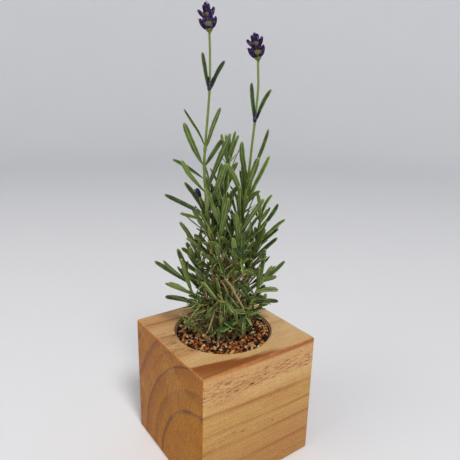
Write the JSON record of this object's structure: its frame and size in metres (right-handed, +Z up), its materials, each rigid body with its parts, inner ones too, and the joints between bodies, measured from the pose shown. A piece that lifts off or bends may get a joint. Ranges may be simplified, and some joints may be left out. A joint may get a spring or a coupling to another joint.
{
  "type": "potted lavender",
  "caption": "Young lavender plant with purple flower spikes above narrow grey-green leaves, growing in bark mix in the round bore of a small cubic block of softwood.",
  "frame": {"origin": "middle of the underside of the wooden block, on the surface it stands on", "axes": "+Z up through the bore and the plant; -X out of the end-grain face and -Y out of the side-grain face, the two faces that show"},
  "size_m": [0.1, 0.1, 0.3305],
  "materials": {
    "pine": "smooth sawn softwood, oiled, with brown growth rings",
    "liner": "thin pale plastic cup",
    "mix": "loose bark chips and pale mineral flakes",
    "foliage": "matt, finely downy leaves and square green stems",
    "dry_twig": "dry, dull",
    "flower": "ribbed violet calyces with a fine lilac down"
  },
  "bodies": {
    "root": {"wood_block": "pine", "liner": "liner", "potting_mix": "mix", "flowering_stem_left": "foliage", "flowering_stem_right": "foliage", "shoot_centre_back": "foliage", "shoot_centre_front": "foliage", "shoot_centre_right": "foliage", "shoot_inner_left": "foliage", "shoot_inner_right": "foliage", "shoot_tall_right": "foliage", "shoot_low_right": "foliage", "shoot_back_right": "foliage", "shoot_low_left": "foliage", "shoot_mid_left": "foliage", "shoot_back_left": "foliage", "shoot_front_left": "foliage", "shoot_front_middle": "foliage", "shoot_front_right": "foliage", "shoot_back_middle": "foliage", "shoot_back_low": "foliage", "shoot_skirt_left": "foliage", "shoot_skirt_right": "foliage", "dry_twig_left": "dry_twig", "dry_twig_front": "dry_twig", "dry_twig_middle": "dry_twig", "dry_twig_right": "dry_twig", "flower_head_left": "flower", "flower_head_right": "flower", "axil_buds_left": "flower", "axil_buds_right": "flower", "side_bud": "flower"}
  },
  "joints": []
}
